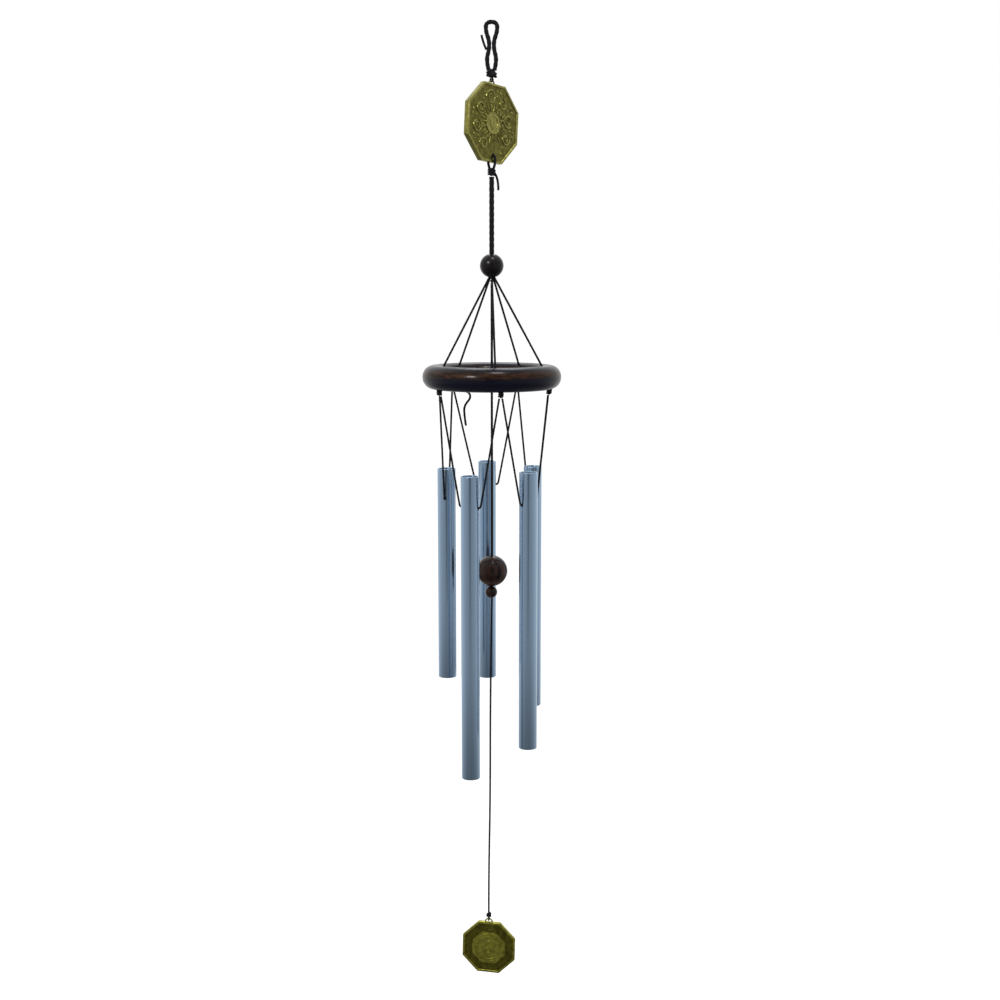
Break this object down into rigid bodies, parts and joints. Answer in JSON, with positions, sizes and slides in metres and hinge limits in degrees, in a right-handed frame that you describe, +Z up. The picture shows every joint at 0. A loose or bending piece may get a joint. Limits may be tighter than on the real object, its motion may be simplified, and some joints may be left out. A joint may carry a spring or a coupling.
{
  "type": "wind chime",
  "caption": "Wind chime: two octagonal cast medallions, a lacquered wooden ring with aluminium tubes laced below it, and a wooden clapper ball on a long cord.",
  "frame": {"origin": "inner top of the hanging loop, where the hook bears", "axes": "+Z up along the hanging axis, -Y towards the front, +X to the right seen from the front"},
  "size_m": [0.09, 0.09, 0.6336],
  "materials": {
    "black_cord": "waxed braided cord",
    "antique_brass": "antique cast brass",
    "dark_brass": "darkened cast brass",
    "black_lacquer": "gloss black lacquer",
    "ring_lacquer": "gloss dark lacquer",
    "brown_lacquer": "gloss dark brown lacquer",
    "tube_aluminium": "satin drawn tube"
  },
  "bodies": {
    "hanger": {"hanging_loop": "black_cord", "loop_tail": "black_cord"},
    "link": {"loop_knot": "black_cord", "link_loop": "black_cord"},
    "upper_plate": {"upper_medallion": "antique_brass"},
    "stem_link": {"stem_loop": "black_cord", "stem_knot": "black_cord", "stem_tail": "black_cord"},
    "stem": {"stem_cord": "black_cord"},
    "canopy": {"top_bead": "black_lacquer", "suspension_cord_1": "black_cord", "suspension_cord_2": "black_cord", "suspension_cord_3": "black_cord", "suspension_cord_4": "black_cord", "suspension_cord_5": "black_cord", "wooden_ring": "ring_lacquer", "ring_knots": "black_cord", "lacing_tail": "black_cord"},
    "line_top": {"line_knot": "black_cord"},
    "clapper_line": {"clapper_line": "black_cord", "stop_bead": "brown_lacquer", "sail_line": "black_cord"},
    "clapper": {"clapper_ball": "brown_lacquer"},
    "sail_link": {"sail_knot": "black_cord", "sail_loop": "black_cord"},
    "sail": {"lower_medallion": "dark_brass"},
    "cord_1": {"tube_cord_1": "black_cord"},
    "tube_1": {"tube_1": "tube_aluminium"},
    "cord_2": {"tube_cord_2": "black_cord"},
    "tube_2": {"tube_2": "tube_aluminium"},
    "cord_3": {"tube_cord_3": "black_cord"},
    "tube_3": {"tube_3": "tube_aluminium"},
    "cord_4": {"tube_cord_4": "black_cord"},
    "tube_4": {"tube_4": "tube_aluminium"},
    "cord_5": {"tube_cord_5": "black_cord"},
    "tube_5": {"tube_5": "tube_aluminium"}
  },
  "joints": [
    {"name": "chime_twist", "type": "hinge", "parent": "hanger", "child": "link", "pos_m": [0, 0, -0.028], "axis": [0, 0, 1], "range_deg": [-180, 180]},
    {"name": "medallion_swing", "type": "hinge", "parent": "link", "child": "upper_plate", "pos_m": [0, 0, -0.0338], "axis": [0.6428, 0.766, 0], "range_deg": [-35, 35]},
    {"name": "stem_swing", "type": "hinge", "parent": "upper_plate", "child": "stem_link", "pos_m": [0, 0, -0.0799], "axis": [0.766, -0.6428, 0], "range_deg": [-30, 30]},
    {"name": "canopy_swing", "type": "hinge", "parent": "stem_link", "child": "stem", "pos_m": [0, 0, -0.0904], "axis": [0.6428, 0.766, 0], "range_deg": [-30, 30]},
    {"name": "canopy_twist", "type": "hinge", "parent": "stem", "child": "canopy", "pos_m": [0, 0, -0.1491], "axis": [0, 0, 1], "range_deg": [-180, 180]},
    {"name": "clapper_fore_aft", "type": "hinge", "parent": "canopy", "child": "line_top", "pos_m": [0, 0, -0.1589], "axis": [-1, 0, 0], "range_deg": [-3.5, 3.5]},
    {"name": "clapper_sideways", "type": "hinge", "parent": "line_top", "child": "clapper_line", "pos_m": [0, 0, -0.1589], "axis": [0, -1, 0], "range_deg": [-3.5, 3.5]},
    {"name": "clapper_slide", "type": "slide", "parent": "clapper_line", "child": "clapper", "axis": [0, 0, 1], "range_m": [0, 0.06]},
    {"name": "sail_twist", "type": "hinge", "parent": "clapper_line", "child": "sail_link", "pos_m": [-0.0024, 0, -0.5894], "axis": [0, 0, 1], "range_deg": [-180, 180]},
    {"name": "sail_swing", "type": "hinge", "parent": "sail_link", "child": "sail", "pos_m": [-0.0024, 0, -0.592], "axis": [0.9848, -0.1736, 0], "range_deg": [-45, 45]},
    {"name": "tube_1_swing", "type": "hinge", "parent": "canopy", "child": "cord_1", "pos_m": [-0.01377, -0.02703, -0.2292], "axis": [-0.891, 0.454, 0], "range_deg": [-3, 25]},
    {"name": "tube_1_tilt", "type": "hinge", "parent": "cord_1", "child": "tube_1", "pos_m": [-0.01377, -0.02703, -0.3022], "axis": [-0.891, 0.454, 0], "range_deg": [-2, 20]},
    {"name": "tube_2_swing", "type": "hinge", "parent": "canopy", "child": "cord_2", "pos_m": [0.02145, -0.02145, -0.2292], "axis": [-0.7071, -0.7071, 0], "range_deg": [-3, 25]},
    {"name": "tube_2_tilt", "type": "hinge", "parent": "cord_2", "child": "tube_2", "pos_m": [0.02357, -0.01933, -0.301], "axis": [-0.7071, -0.7071, 0], "range_deg": [-2, 20]},
    {"name": "tube_3_swing", "type": "hinge", "parent": "canopy", "child": "cord_3", "pos_m": [0.02703, 0.01377, -0.2292], "axis": [0.454, -0.891, 0], "range_deg": [-3, 25]},
    {"name": "tube_3_tilt", "type": "hinge", "parent": "cord_3", "child": "tube_3", "pos_m": [0.02703, 0.01377, -0.2949], "axis": [0.454, -0.891, 0], "range_deg": [-2, 20]},
    {"name": "tube_4_swing", "type": "hinge", "parent": "canopy", "child": "cord_4", "pos_m": [-0.00475, 0.02996, -0.2292], "axis": [-0.9877, -0.1564, 0], "range_deg": [-25, 3]},
    {"name": "tube_4_tilt", "type": "hinge", "parent": "cord_4", "child": "tube_4", "pos_m": [-0.00346, 0.03017, -0.2952], "axis": [-0.9877, -0.1564, 0], "range_deg": [-20, 2]},
    {"name": "tube_5_swing", "type": "hinge", "parent": "canopy", "child": "cord_5", "pos_m": [-0.02996, 0.00475, -0.2292], "axis": [-0.1564, -0.9877, 0], "range_deg": [-25, 3]},
    {"name": "tube_5_tilt", "type": "hinge", "parent": "cord_5", "child": "tube_5", "pos_m": [-0.02996, 0.00475, -0.2998], "axis": [-0.1564, -0.9877, 0], "range_deg": [-20, 2]}
  ]
}
